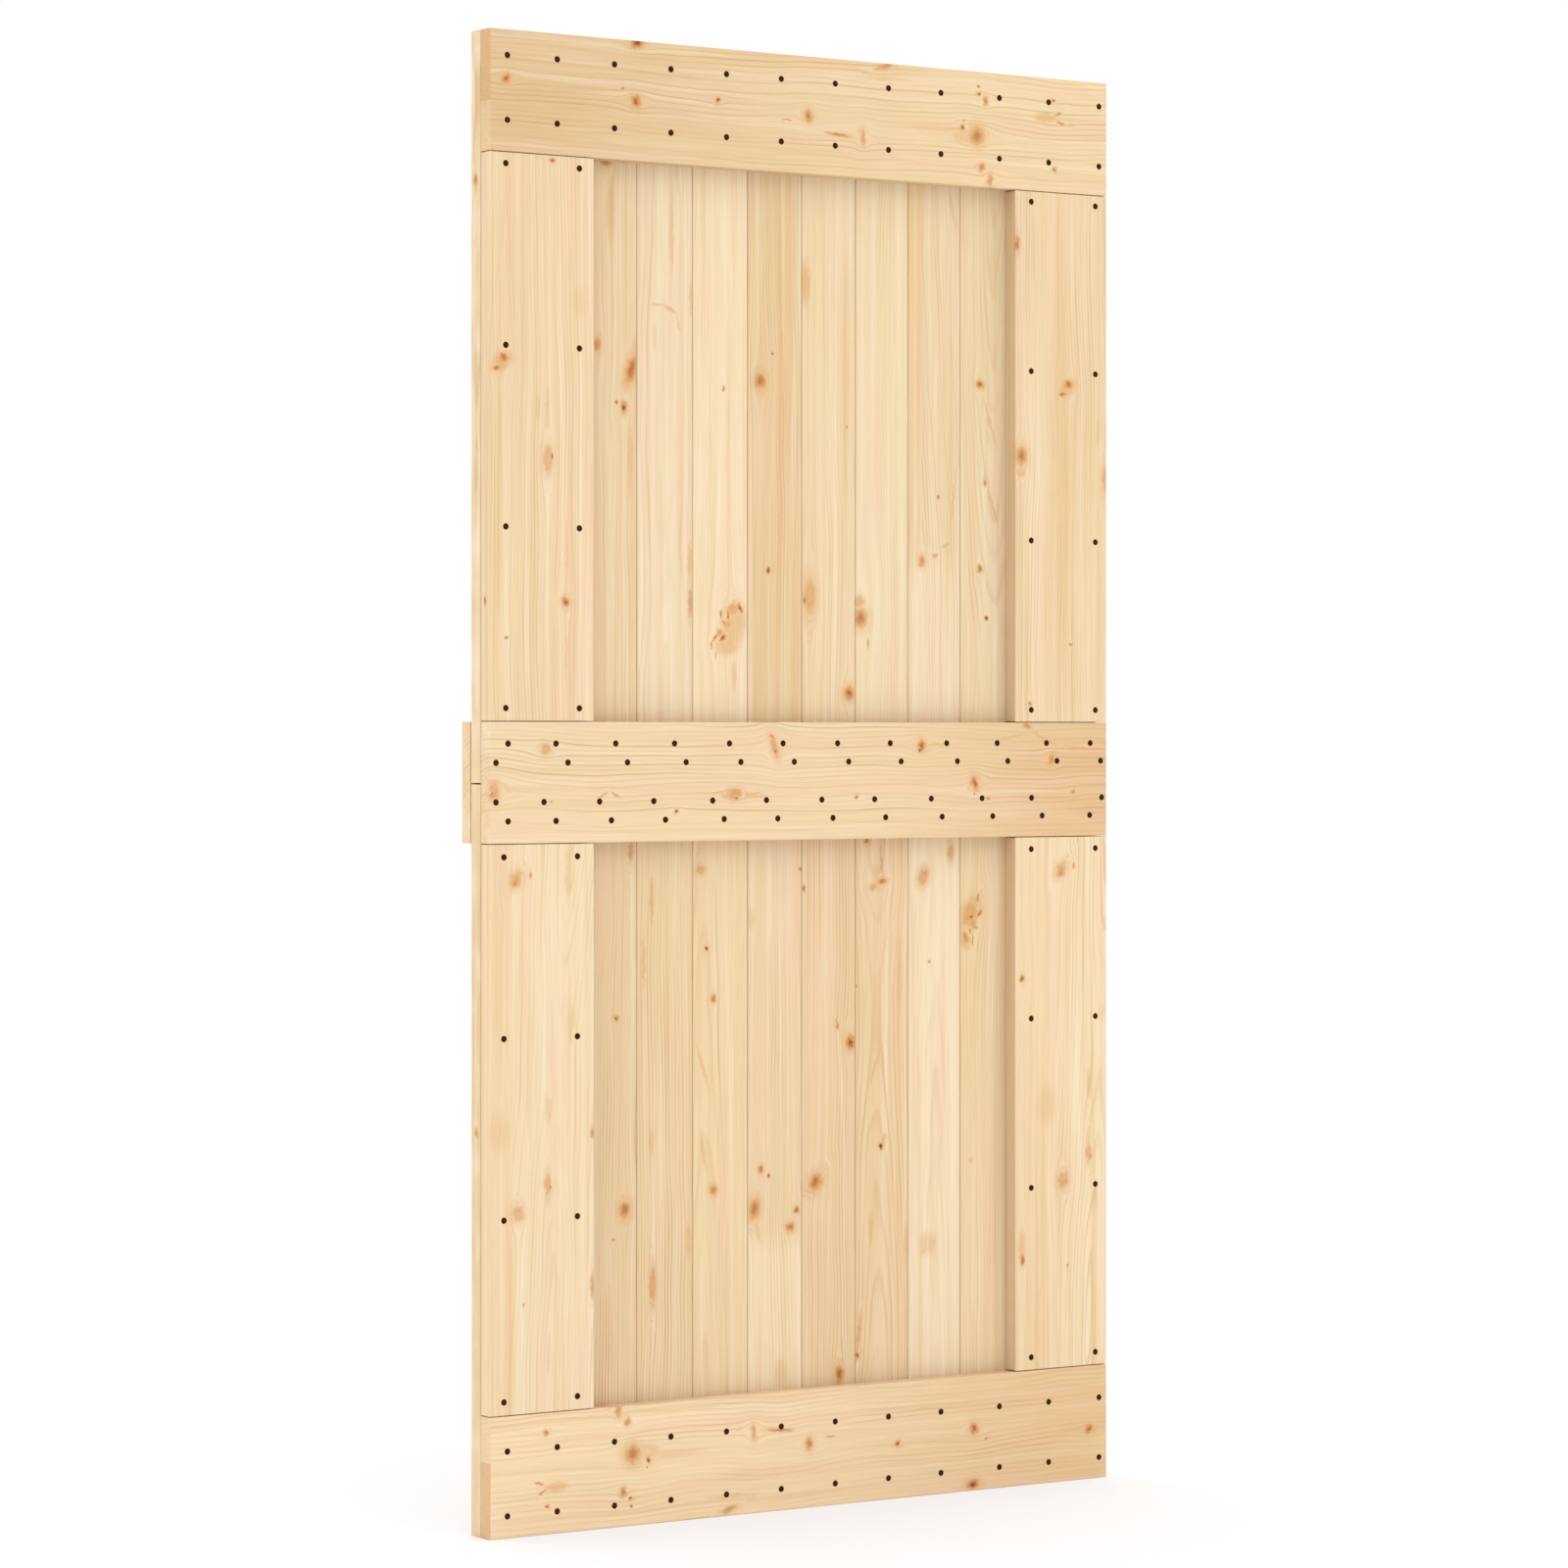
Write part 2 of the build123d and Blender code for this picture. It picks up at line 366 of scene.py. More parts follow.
def sawnSides(tree, wood, place, colour):
    # Tints on the sawn sides and ends of the leaf alone, and painted shade on those sides next to the boards.
    # Ends are (edge, tone above it, tone below it).
    tints = []
    # painted shade: the frame's outer side turns darker and browner over the last few mm before the boards
    if "seam" in wood:
        away = pine["seamReach"] if wood["seam"] == 0 else -pine["seamReach"]
        seam = {0: place["behind"], 1: wood["seam"] + away, 2: wood["seam"], 4: pine["seamShare"]}
        seam = addNode(tree, "ShaderNodeMapRange", seam, interpolation_type="SMOOTHSTEP")
        tints += [(seam, pine["seam"])]
    if "sawn" in wood:
        patch = {0: place["leaf"], 1: (0, 1 / pine["sawnThick"], 1 / wood["sawn"])}
        patch = addNode(tree, "ShaderNodeVectorMath", patch, operation="MULTIPLY")
        patch = addNode(tree, "ShaderNodeTexNoise", {"Vector": patch, "Scale": 1.0, "Detail": 3})
        for key, tone in (("sawnPale", "cream"), ("sawnWarm", "tan")):
            start, full, most = pine[key]
            sawn = addNode(tree, "ShaderNodeMapRange", {0: patch, 1: start, 2: full, 4: most})
            tints += [(sawn, pine[tone])]
    if "ends" in wood:
        edge, upper, lower = wood["ends"]
        upperShare, lowerShare = pine["endShares"]
        above = addNode(tree, "ShaderNodeMath", {0: place["across"], 1: edge}, operation="LESS_THAN")
        tints += [(addNode(tree, "ShaderNodeMapRange", {0: above, 4: upperShare}), upper)]
        tints += [(addNode(tree, "ShaderNodeMapRange", {0: above, 3: lowerShare, 4: 0.0}), lower)]
    fromMiddle = addNode(tree, "ShaderNodeSeparateXYZ", {0: place["spot"]})
    fromMiddle = addNode(tree, "ShaderNodeMath", {0: fromMiddle}, operation="ABSOLUTE")
    outer = {0: fromMiddle, 1: cadHigh.x - pine["sawnDepth"] * mm}
    outer = addNode(tree, "ShaderNodeMath", outer, operation="GREATER_THAN")
    for share, tint in tints:
        share = addNode(tree, "ShaderNodeMath", {0: share, 1: outer}, operation="MULTIPLY")
        colour = {0: share, 6: colour, 7: hexLinear(tint)}
        colour = addNode(tree, "ShaderNodeMix", colour, data_type="RGBA").outputs[2]
    return colour


def planedPine(name, wood, seed):
    # Planed, unfinished pine: pale cream and tan streaks, thin late-wood lines that part round orange-brown
    # knots, a faint resin stain about each knot and a soft satin face.
    material = emptyMaterial("pinePlaned." + name)
    tree = material.node_tree
    place = leafPlace(tree, wood)
    rag, knots = layKnots(tree, wood, place)
    colour, bent, drawn = faceTone(tree, wood, place, knots["Bow"])

    # year rings, streaks and the knots' colours
    cut = {"Across": bent, "Along": place["along"], "Depth": place["depth"], "Seed": seed}
    for key in ("pith", "lean", "cut", "crest", "dive", "ring", "taper", "sway"):
        cut[key.title()] = wood[key]
    figure = addNode(tree, "ShaderNodeGroup", cut, node_tree=figureGroup).outputs
    sources = {"cream": figure["Streak"], "tan": figure["Streak"], "pink": figure["Blush"],
               "olive": figure["Blush"], "knotCore": knots["Heart"], "bark": knots["Heart"]}
    shares = {}
    for tint, (start, full, most) in pine["ramps"].items():
        ramp = {0: sources[tint], 1: start, 2: full, 4: wood.get(most, most)}
        shares[tint] = addNode(tree, "ShaderNodeMapRange", ramp)
    layers = (("lateWood", figure["Late"], drawn), ("halo", knots["Stain"], pine["haloShare"]),
              ("knot", knots["Body"], pine["knotShare"]))
    for tint, source, most in layers:
        shares[tint] = addNode(tree, "ShaderNodeMath", {0: source, 1: most}, operation="MULTIPLY")
    start, full = pine["redden"]
    redden = addNode(tree, "ShaderNodeMapRange", {0: rag, 1: start, 2: full})
    knotColour = {0: redden, 6: hexLinear(pine["knot"]), 7: hexLinear(pine["knotRed"])}
    knotColour = addNode(tree, "ShaderNodeMix", knotColour, data_type="RGBA").outputs[2]
    for tint in ("cream", "tan", "pink", "olive", "lateWood", "halo", "knot", "knotCore", "bark"):
        over = knotColour if tint == "knot" else hexLinear(pine[tint])
        colour = {0: shares[tint], 6: colour, 7: over}
        colour = addNode(tree, "ShaderNodeMix", colour, data_type="RGBA").outputs[2]
    colour = sawnSides(tree, wood, place, colour)

    # fibres, light passed on to other wood, relief and sheen
    low, high = pine["fibreLevels"]
    shade = {0: figure["Fibre"], 1: low, 2: high, 3: 1 - pine["fibreShade"], 4: 1 + pine["fibreShade"]}
    shade = addNode(tree, "ShaderNodeMapRange", shade)
    colour = addNode(tree, "ShaderNodeVectorMath", {0: colour, 1: shade}, operation="MULTIPLY")
    bounced = addNode(tree, "ShaderNodeLightPath").outputs["Is Diffuse Ray"]
    passed = {0: bounced, 6: (1, 1, 1, 1), 7: hexLinear(pine["bounce"])}
    passed = addNode(tree, "ShaderNodeMix", passed, data_type="RGBA").outputs[2]
    colour = addNode(tree, "ShaderNodeVectorMath", {0: colour, 1: passed}, operation="MULTIPLY")
    width, length = woodNoise["fibre"][:2]
    tooth = {0: place["plane"], 1: (1 / width, 1 / length, 0)}
    tooth = addNode(tree, "ShaderNodeVectorMath", tooth, operation="MULTIPLY")
    tooth = {"Vector": tooth, "Scale": 1.0, "Detail": 2}
    tooth = addNode(tree, "ShaderNodeTexNoise", tooth, noise_dimensions="2D")
    relief = {"Strength": pine["reliefStrength"], "Distance": pine["reliefDepth"] * mm, "Height": tooth}
    relief = addNode(tree, "ShaderNodeBump", relief)
    smooth, coarse = (pine["roughness"] + side * pine["roughnessSpread"] for side in (-1, 1))
    rough = addNode(tree, "ShaderNodeMapRange", {0: tooth, 1: low, 2: high, 3: smooth, 4: coarse})
    surface = {"Base Color": colour, "Roughness": rough, "Normal": relief}
    surface |= {"IOR": 1.45, "Specular IOR Level": 0.3}
    surface = addNode(tree, "ShaderNodeBsdfPrincipled", surface)
    addNode(tree, "ShaderNodeOutputMaterial", {"Surface": surface})
    return material


# Figure that each kind of piece has unless its own wood says otherwise, in mm
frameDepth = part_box("top_rail")[1].y / mm
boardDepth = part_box("upper_board_01")[1].y / mm
straight = {"lean": 0, "crest": 0, "dive": 0}
railFigure = straight | {
    "grain": "level", "cut": 40, "ring": 7, "taper": 0.008, "sway": 0.6,
    "lines": 0.46, "pale": 0.4, "warm": 0.75, "front": 0, "seam": frameDepth, "sawn": 70,
}
stileFigure = straight | {
    "grain": "upright", "cut": 50, "ring": 5.2, "taper": 0.006, "sway": 0.3,
    "lines": 0.4, "pale": 0.6, "warm": 0.95, "front": 0, "seam": frameDepth,
}
boardFigure = straight | {
    "grain": "upright", "cut": 50, "ring": 4.6, "taper": 0.006, "sway": 0.42,
    "lines": 0.4, "pale": 0.6, "warm": 0.65, "front": frameDepth,
}

# The top and bottom rails have one figure, turned end for end at the bottom
outerRailWood = railFigure | {
    "tone": "#f2d6ac", "pith": -90, "ends": (98, "#d9ae7d", "#edcba0"), "fade": (-60, 900, "#e0bc8e"),
    "knots": [
        (236, 3, 22, 16, 0.75, 0.6, 0), (26, 67, 14, 13, 0.6, 0.5, 0), (213, 67, 4, 4, 0.4, 0.2, 0),
        (234, 84, 15, 17, 0.6, 0.6, 0), (368, 72, 8, 10, 0.75, 0.4, 0), (485, 92, 20, 3, 0.35, 0.1, 4),
        (521, 84, 14, 18, 0.5, 0.6, 0), (656, 3, 26, 8, 0.3, 0.5, -15), (652, 21, 110, 9, 0, 0.6, 0),
        (817, 22, 4, 4, 0.6, 0.2, 0), (819, 32, 8, 6, 0.7, 0.3, 0), (830, 42, 9, 14, 0.38, 0.6, 0),
        (793, 73, 4, 4, 0.6, 0.2, 0), (789, 83, 10, 7, 0.8, 0.3, 40), (815, 93, 24, 26, 0.42, 0.8, 0),
        (790, 95, 60, 34, 0, 0.6, 0), (745, 88, 130, 18, 0, 0.4, 0), (938, 58, 56, 22, 0, 0.8, 0),
        (960, 52, 16, 4, 0.3, 0.3, -35), (966, 64, 18, 3, 0.4, 0.2, 8), (952, 33, 7, 5, 0.6, 0.2, 0),
        (570, 107, 44, 5, 0.4, 0.3, 6), (575, 108, 80, 10, 0, 0.6, 3), (611, 99, 16, 14, 0, 0.7, 0),
        (615, 108, 8, 22, 0.2, 0.5, 0), (823, 138, 10, 13, 0.35, 0.5, 0), (838, 155, 10, 18, 0.3, 0.6, 0),
        (955, 133, 8, 8, 0.4, 0.4, 0), (-12, 100, 7, 12, 0.6, 0.5, 0),
    ],
}
middleRailWood = railFigure | {
    "tone": "#f3d7b0", "pith": 1160, "ring": 6.5, "lines": 0.2, "strips": [(1067, "#f1d6ad", 0.46)],
    "fade": (1090, 540, "#e4bc8c"),
    "knots": [
        (88, 978, 15, 16, 0.08, 0.5, 0), (7, 1035, 15, 24, 0.1, 0.6, 0), (3, 1039, 4, 12, 0.5, 0.2, 0),
        (98, 1049, 7, 3, 0.5, 0.2, 0), (180, 1041, 18, 3, 0.3, 0.2, -30), (200, 1041, 16, 3, 0.4, 0.3, 25),
        (300, 1065, 6, 8, 0.8, 0.5, 0), (464, 976, 10, 30, 0.15, 0.7, -18), (466, 981, 7, 10, 0.65, 0.4, -10),
        (459, 961, 10, 4, 0.4, 0.2, 40), (397, 1041, 20, 14, 0.08, 0.6, 0), (399, 1047, 8, 5, 0.6, 0.3, 0),
        (428, 1041, 50, 6, 0, 0.9, -3), (432, 1045, 60, 9, 0, 0.5, 0), (717, 974, 13, 16, 0.65, 0.5, 0),
        (714, 980, 7, 7, 0.75, 0.2, 0), (742, 973, 60, 6, 0, 0.8, 0), (811, 1028, 13, 21, 0.6, 0.5, -15),
        (810, 1043, 4, 6, 0.4, 0.3, 0), (835, 1050, 6, 5, 0.4, 0.2, 0), (603, 1047, 7, 7, 0.5, 0.3, 0),
        (905, 945, 14, 8, 0.35, 0.6, 20), (949, 995, 10, 14, 0.35, 0.6, 30), (989, 1042, 6, 6, 0.35, 0.2, 0),
        (936, 964, 70, 6, 0, 0.8, 24), (998, 977, 110, 6, 0, 0.7, 4), (874, 962, 90, 6, 0, 0.5, -11),
    ],
}
backRailWood = railFigure | {
    "tone": "#f0d3a9", "pith": 1180, "front": boardDepth, "seam": 0,
    "knots": [
        (140, 1010, 18, 14, 0.6, 0.7, 0), (420, 985, 10, 12, 0.7, 0.5, 0), (655, 1060, 22, 16, 0.5, 0.8, 0),
        (880, 1030, 14, 12, 0.7, 0.6, 0), (560, 960, 6, 6, 0.8, 0.3, 0),
    ],
}
# Left and right stiles are cut from the same figure, the right one further across it
upperStileWood = stileFigure | {
    "tone": "#f2d5ae", "pith": 240, "cut": 60, "strips": [(102, "#f0d5ac", 0.36)],
    "knots": [
        (99, 173, 8, 8, 0.6, 0.4, 0), (22, 446, 14, 13, 0.5, 0.7, 0), (20, 450, 52, 36, 0, 1.0, -30),
        (10, 461, 15, 6, 0.5, 0.6, -10), (92, 515, 10, 90, 0, 0.5, 0), (76, 512, 8, 60, 0, 0.5, 0),
        (99, 578, 5, 12, 0.8, 0.3, 0), (92, 582, 16, 40, 0.1, 0.6, 0), (120, 777, 12, 14, 0.65, 0.8, 0),
        (122, 710, 6, 150, 0, 0.6, 0), (121, 850, 5, 150, 0, 0.5, 0), (26, 826, 5, 5, 0.4, 0.2, 0),
        (145, 365, 40, 60, 0, 0.3, 0), (-71, 245, 9, 22, 0.5, 0.7, 0), (-63, 553, 21, 26, 0.5, 0.6, 0),
        (-64, 577, 22, 18, 0, 0.9, 0), (-48, 913, 9, 8, 0.4, 0.2, 0),
    ],
}
lowerStileWood = stileFigure | {
    "tone": "#f5deb7", "pith": 112, "lean": -0.05, "cut": 32, "crest": 1420, "dive": 0.08, "ring": 5.6,
    "sway": 0.5, "lines": 0.34, "strips": [(36, "#f3d6ad", 0.1)],
    "knots": [
        (42, 1156, 16, 22, 0.2, 0.7, 30), (40, 1160, 4, 8, 0.5, 0.3, 0), (65, 1150, 5, 10, 0.35, 0.4, 0),
        (125, 1145, 14, 110, 0, 0.6, 0), (92, 1572, 9, 30, 0.12, 0.5, 0), (96, 1577, 3, 9, 0.55, 0.1, 0),
        (45, 1610, 18, 22, 0.06, 0.6, 0), (129, 1350, 18, 84, 0, 0.5, 0), (92, 1469, 16, 58, 0, 0.55, 0),
        (53, 1735, 4, 5, 0.45, 0.2, 0), (163, 1505, 6, 14, 0.35, 0.5, 0), (163, 1715, 6, 36, 0.2, 0.5, 0),
        (-29, 1313, 8, 12, 0.7, 0.5, 0), (-28, 1722, 7, 16, 0.55, 0.3, 0), (-30, 1705, 18, 80, 0, 0.9, 0),
        (15, 1500, 50, 80, 0, 0.4, 0),
    ],
}
edgeKnot = (-12, 776, 6, 14, 0.6, 0.3, 0)           # shows on the leaf's left side alone
brownBand = (8, 560, 46, 1100, 0, 0.4, 0)           # down the middle of the upper right stile
frameWoods = {
    "top_rail": outerRailWood,
    # its tone and fade are paler than the top rail's: painted light that offsets the floor's shade near the
    # foot of the leaf
    "bottom_rail": outerRailWood | {
        "origin": (1043.5, 2044), "turn": -1,
        "tone": "#fadfb6", "lines": 0.38, "fade": (-60, 700, "#e8c394")},
    "middle_rail_front": middleRailWood,
    "middle_rail_back": backRailWood,
    "upper_left_stile": upperStileWood | {"knots": upperStileWood["knots"] + [edgeKnot]},
    "upper_right_stile": upperStileWood | {
        "origin": (958, 0), "knots": upperStileWood["knots"] + [brownBand]},
    "lower_left_stile": lowerStileWood,
    "lower_right_stile": lowerStileWood | {"origin": (925, 0)},
}
boardWoods = {
    "upper_board_01": {"tone": "#f1d8b0", "pith": -90, "sawn": 75, "knots": [
        (-13, 204, 10, 16, 0.6, 0.9, 0), (40, 700, 12, 14, 0.7, 0.6, 0)]},
    "upper_board_02": {"tone": "#f2d5ac", "pith": 210, "knots": [
        (120, 330, 12, 16, 0.7, 0.6, 0), (95, 640, 9, 10, 0.6, 0.5, 0)]},
    "upper_board_03": {"tone": "#ecd0a6", "pith": 330, "lines": 0.3, "knots": [
        (200, 168, 18, 10, 0.4, 0.4, 0), (208, 230, 20, 140, 0, 0.7, 0), (186, 420, 12, 18, 0.3, 0.6, 0),
        (242, 452, 16, 40, 0.5, 1.0, 18), (247, 425, 12, 60, 0, 0.7, 0), (218, 498, 4, 8, 0.6, 0.2, 0),
        (230, 505, 11, 17, 0.75, 0.6, 0), (240, 580, 14, 140, 0, 0.6, 0)]},
    "upper_board_04": {"tone": "#f2dbb6", "pith": 298, "cut": 46, "crest": 120, "dive": 0.012,
                       "lines": 0.28, "knots": [
        (308, 258, 12, 160, 0, 0.6, 0), (284, 360, 26, 8, 0, 0.8, 0), (306, 366, 34, 9, 0, 1.0, 28),
        (319, 386, 8, 34, 0, 0.7, -12), (280, 405, 9, 50, 0, 0.5, 0), (340, 350, 8, 70, 0, 0.8, 0),
        (338, 715, 10, 80, 0, 0.9, 0), (339, 775, 7, 40, 0.2, 0.5, 0)]},
    "upper_board_05": {"tone": "#f6dfb8", "pith": 230, "lines": 0.18, "knots": [
        (394, 472, 4, 8, 0.4, 0.3, 0), (410, 808, 62, 96, 0, 0.9, 25), (410, 783, 24, 15, 0.1, 0.8, -25),
        (422, 781, 7, 14, 0.7, 0.3, -30), (391, 790, 4, 14, 0.55, 0.1, -10),
        (401, 791, 5, 15, 0.55, 0.2, -15), (395, 802, 4, 11, 0.4, 0.1, -35), (401, 804, 14, 7, 0.05, 0.7, 0),
        (388, 815, 10, 13, 0.25, 0.6, 15), (393, 823, 13, 7, 0.7, 0.3, -30), (380, 823, 15, 5, 0.5, 0.2, -45),
        (375, 833, 4, 12, 0.4, 0.1, 0), (400, 834, 60, 40, 0, 0.9, 0), (381, 847, 3, 14, 0.35, 0, 0),
        (412, 875, 14, 60, 0, 0.7, 0)]},
    "upper_board_06": {"tone": "#e7c798", "pith": 600, "lines": 0.46, "knots": [
        (477, 420, 4, 5, 0.6, 0.2, 0), (456, 460, 19, 23, 0.5, 0.7, 0), (470, 727, 8, 10, 0.75, 0.5, 0),
        (490, 500, 12, 900, 0, 0.4, 0)]},
    "upper_board_07": {"tone": "#f1d8b0", "pith": 680, "lines": 0.34, "knots": [
        (532, 318, 26, 90, 0, 1.0, 0), (604, 520, 4, 6, 0.5, 0.3, 0), (531, 767, 7, 11, 0.65, 0.5, 0),
        (540, 762, 20, 50, 0.1, 0.6, 0), (608, 899, 18, 20, 0.6, 0.9, 0), (603, 415, 30, 420, 0, 0.4, 0)]},
    "upper_board_08": {"tone": "#f1dbb2", "pith": 800, "lines": 0.18, "knots": [
        (628, 792, 24, 29, 0.5, 0.6, 0), (625, 768, 18, 16, 0.1, 0.5, 0), (641, 828, 5, 14, 0.35, 0.1, 0)]},
    "upper_board_09": {"tone": "#eed4ac", "pith": 860, "lean": 0.05, "strips": [(735, "#ebca99", 0.12)],
                       "warm": 0.95, "fade": (760, 660, "#f3dcb7"), "knots": [
        (764, 616, 5, 8, 0.6, 0.2, 0), (735, 708, 11, 17, 0.28, 0.7, 0), (758, 700, 8, 7, 0.2, 0.2, 0),
        (789, 198, 9, 90, 0, 0.7, -10), (790, 620, 6, 110, 0, 0.8, 8), (778, 684, 20, 8, 0, 0.8, -20)]},
    "upper_board_10": {"tone": "#eed7ab", "pith": 862, "cut": 26, "crest": 880, "dive": 0.05,
                       "lines": 0.32, "knots": [
        (838, 450, 14, 12, 0.6, 0.6, 0), (856, 505, 8, 100, 0, 0.7, -18), (848, 593, 8, 8, 0.5, 0.4, 0),
        (862, 628, 8, 80, 0, 0.7, -20), (838, 718, 10, 10, 0.6, 0.7, 0), (849, 789, 8, 8, 1.0, 0, 0)]},
    "upper_board_11": {"tone": "#f2d5ab", "pith": 1090, "knots": [
        (930, 260, 10, 12, 0.7, 0.6, 0), (955, 720, 16, 18, 0.6, 0.7, 0)]},
    "upper_board_12": {"tone": "#f1d5ac", "pith": 1150, "sawn": 75, "knots": [
        (1020, 480, 12, 16, 0.7, 0.6, 0)]},
    "lower_board_01": {"tone": "#efd4ab", "pith": 180, "sawn": 75, "knots": [
        (-10, 1500, 10, 12, 0.3, 0.6, 0), (45, 1260, 10, 12, 0.7, 0.5, 0)]},
    "lower_board_02": {"tone": "#f2d6ad", "pith": 0, "knots": [(125, 1400, 12, 14, 0.7, 0.6, 0)]},
    "lower_board_03": {"tone": "#ebcfa6", "pith": 60, "lines": 0.66, "knots": [
        (241, 1120, 8, 30, 0.2, 0.5, 0), (217, 1350, 8, 9, 0.7, 0.6, 0), (231, 1616, 18, 24, 0.5, 0.7, 0),
        (212, 1657, 5, 5, 0.6, 0.2, 0), (205, 1775, 16, 190, 0, 0.5, 0)]},
    "lower_board_04": {"tone": "#edd2a8", "pith": 420, "lines": 0.62, "warm": 0.9, "knots": [
        (275, 1187, 10, 100, 0, 1.0, 0), (262, 1275, 10, 90, 0, 0.9, 0), (275, 1525, 10, 60, 0, 0.7, 0),
        (277, 1722, 9, 46, 0.02, 1.0, 0), (336, 1665, 12, 70, 0, 0.7, 0)]},
    "lower_board_05": {"tone": "#f0d5a8", "pith": 362, "cut": 26, "crest": 1050, "dive": 0.03, "knots": [
        (355, 1147, 14, 12, 0.12, 0.6, 0), (366, 1257, 8, 8, 1.0, 0, 0), (377, 1328, 10, 11, 0.45, 0.8, 0),
        (359, 1422, 9, 90, 0, 0.7, -18), (360, 1540, 9, 80, 0, 0.7, -10), (377, 1596, 12, 13, 0.4, 0.7, 0)]},
    "lower_board_06": {"tone": "#eed2a9", "pith": 600, "fade": (1700, 1645, "#f6dfb9"), "knots": [
        (441, 1218, 18, 44, 0, 0.5, 0), (523, 1148, 6, 8, 0.5, 0.4, 0), (457, 1571, 9, 12, 0.5, 0.6, 0),
        (470, 1580, 5, 10, 0.7, 0.3, 0), (446, 1626, 18, 30, 0.45, 0.8, 12), (517, 1631, 9, 12, 0.6, 0.6, 0),
        (450, 1655, 12, 60, 0, 0.6, -20), (507, 1655, 14, 14, 0.5, 0.7, 0), (490, 1860, 30, 60, 0, 0.6, 0)]},
    "lower_board_07": {"tone": "#eccda2", "pith": 440, "lines": 0.48, "knots": [
        (530, 1176, 6, 10, 0.7, 0.4, 0), (588, 1373, 6, 12, 0.35, 0.4, 0), (610, 1397, 17, 22, 0.7, 0.6, 0),
        (607, 1391, 7, 6, 0.6, 0, 20), (613, 1402, 6, 8, 0.6, 0, 0), (550, 1593, 20, 26, 0.55, 0.9, 35),
        (591, 1868, 14, 26, 0.6, 0.7, 0)]},
    "lower_board_08": {"tone": "#eccda1", "pith": 655, "cut": 26, "crest": 1340, "dive": 0.05,
                       "lines": 0.38, "warm": 0.95, "knots": [
        (638, 1110, 10, 8, 0.5, 0.6, 0), (665, 1168, 16, 8, 0.45, 0.7, 0), (650, 1176, 14, 10, 0.1, 0.6, 0),
        (664, 1136, 3, 56, 0.15, 0.2, -4), (652, 1435, 7, 70, 0, 0.8, 20), (626, 1805, 8, 80, 0, 0.9, 8),
        (621, 1318, 4, 6, 0.5, 0.3, 0), (695, 1305, 14, 170, 0, 0.6, 0), (663, 1547, 9, 10, 1.0, 0.4, 0),
        (668, 1538, 12, 26, 0, 0.8, 20), (624, 1818, 4, 50, 0.1, 0.5, 6), (645, 1665, 12, 70, 0, 0.7, 0),
        (622, 1844, 7, 14, 0.7, 0.5, 0), (706, 1690, 8, 100, 0, 0.8, 0)]},
    "lower_board_09": {"tone": "#f6e0bd", "pith": 758, "cut": 25, "crest": 950, "dive": 0.03,
                       "lines": 0.16, "knots": [
        (786, 1128, 10, 24, 0.12, 0.7, 0), (738, 1162, 16, 24, 0.12, 0.9, 20),
        (741, 1158, 5, 8, 0.35, 0.2, 30), (748, 1285, 4, 5, 0.5, 0.3, 0), (745, 1692, 40, 50, 0, 0.6, 0),
        (738, 1703, 18, 10, 0, 0.8, -35), (752, 1690, 16, 10, 0, 0.7, -30)]},
    "lower_board_10": {"tone": "#f1d6ab", "pith": 740, "lines": 0.32, "knots": [
        (820, 1217, 20, 34, 0.02, 1.0, 28), (835, 1196, 5, 12, 0.35, 0.1, 15),
        (823, 1222, 11, 6, 0.65, 0.3, -15), (837, 1218, 6, 20, 0.5, 0.3, 38),
        (827, 1231, 10, 11, 0.15, 0.6, 0), (830, 1238, 11, 4, 0.3, 0.2, 0),
        (821, 1243, 8, 6, 0.35, 0.3, -40), (812, 1251, 12, 20, 0.25, 0.6, -15),
        (825, 1256, 4, 20, 0.45, 0, -5), (812, 1256, 26, 36, 0, 1.0, 0), (822, 1575, 12, 14, 0, 0.6, 0)]},
    "lower_board_11": {"tone": "#f1d5ab", "pith": 800, "knots": [
        (940, 1300, 12, 16, 0.7, 0.6, 0), (920, 1700, 8, 8, 0.8, 0.5, 0)]},
    "lower_board_12": {"tone": "#f0d3a9", "pith": 1150, "sawn": 75, "knots": [
        (1015, 1620, 14, 18, 0.6, 0.7, 0)]},
}

woods = frameWoods | {name: boardFigure | wood for name, wood in boardWoods.items()}
firstSeed, seedStep = pine["seeds"]
for number, (name, wood) in enumerate(woods.items()):
    material = planedPine(name, wood, firstSeed + seedStep * number)
    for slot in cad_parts[name].material_slots:
        slot.material = material
print("pine laid on", len(woods), "pieces")


# Screws: flush heads with a shallow cross recess, sunk in the rails and stiles

screws = {
    # heads are drawn 9.5 mm across, wider than the screws' own 8 mm: the outer ring of dark steel is painted
    # shadow round each head
    "radius": 4.75, "proud": 0.45, "sunk": 0.5, "recess": 0.35,      # mm
    "rings": (0.3, 0.58, 0.9, 1.0), "segments": 16,                  # rings as shares of the radius
    "recessReach": 0.6,
    "film": "#361b03", "rubbed": "#472a10",                          # the dark film and where it is worn
    "wornLevels": (0.35, 0.7), "roughLevels": (0.3, 0.7),            # of the specks' noise
    "roughness": (0.5, 0.7), "reliefStrength": 0.3,
    "speck": 0.8, "relief": 0.1,                                     # mm
    "railColumns": (28, *range(107, 752, 92), 855, 944, 1036),       # mm from the leaf's left edge
    "topRows": (35.3, 123.3), "bottomRows": (1931.8, 2019.7),        # mm below the leaf's top
    "pairRows": (970.4, 996.4, 1050.1, 1076.1),
    "upperPairs": (105, 201, 297, 388, 478, 571, 662, 761, 851, 940, 1020),
    "lowerPairs": (10, 86, 175, 263, 360, 450, 544, 635, 734, 824, 913),
    "pairStep": 19.1,
    "turnedPairs": (29, 10, 1041, 1019),                             # one column for each of the pair rows
    "stileRows": (182.3, 1124.8), "stilePitch": 246.6, "stileRowCount": 4,
    "stileColumns": ((25.5, 142.4, 912.4, 1029.4), (22.5, 139.3, 912.4, 1029.4)),
}


